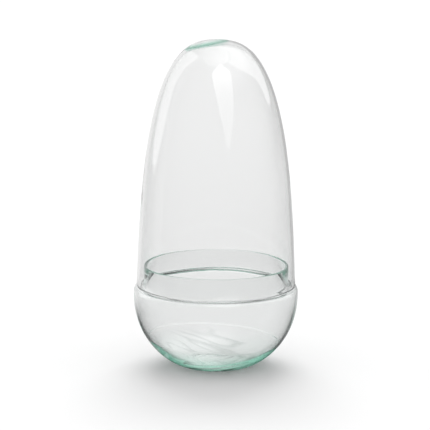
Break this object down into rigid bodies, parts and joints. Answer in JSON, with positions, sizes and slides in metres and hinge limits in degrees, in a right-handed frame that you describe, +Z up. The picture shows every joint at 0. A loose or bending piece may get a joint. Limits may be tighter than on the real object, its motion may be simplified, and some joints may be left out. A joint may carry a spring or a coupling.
{
  "type": "glass cloche",
  "caption": "Tall rounded glass dome that stands around the upright collar of a round-bottomed glass bowl, as a table-top plant cover.",
  "frame": {"origin": "centre of the bowl's foot, on the surface that the cloche stands on", "axes": "+Z up, along the axis that the bowl and the dome are turned about; X and Y are free"},
  "size_m": [0.18, 0.18, 0.361],
  "materials": {
    "bowl_glass": "clear blown glass, faintly green, clearly green where it is thick at the foot",
    "dome_glass": "clear thin blown glass, faintly green at the thick crown"
  },
  "bodies": {
    "bowl": {"bowl": "bowl_glass"},
    "dome": {"dome": "dome_glass"}
  },
  "joints": [
    {"name": "dome_lift", "type": "slide", "parent": "bowl", "child": "dome", "axis": [0, 0, 1], "range_m": [0, 0.12]}
  ]
}
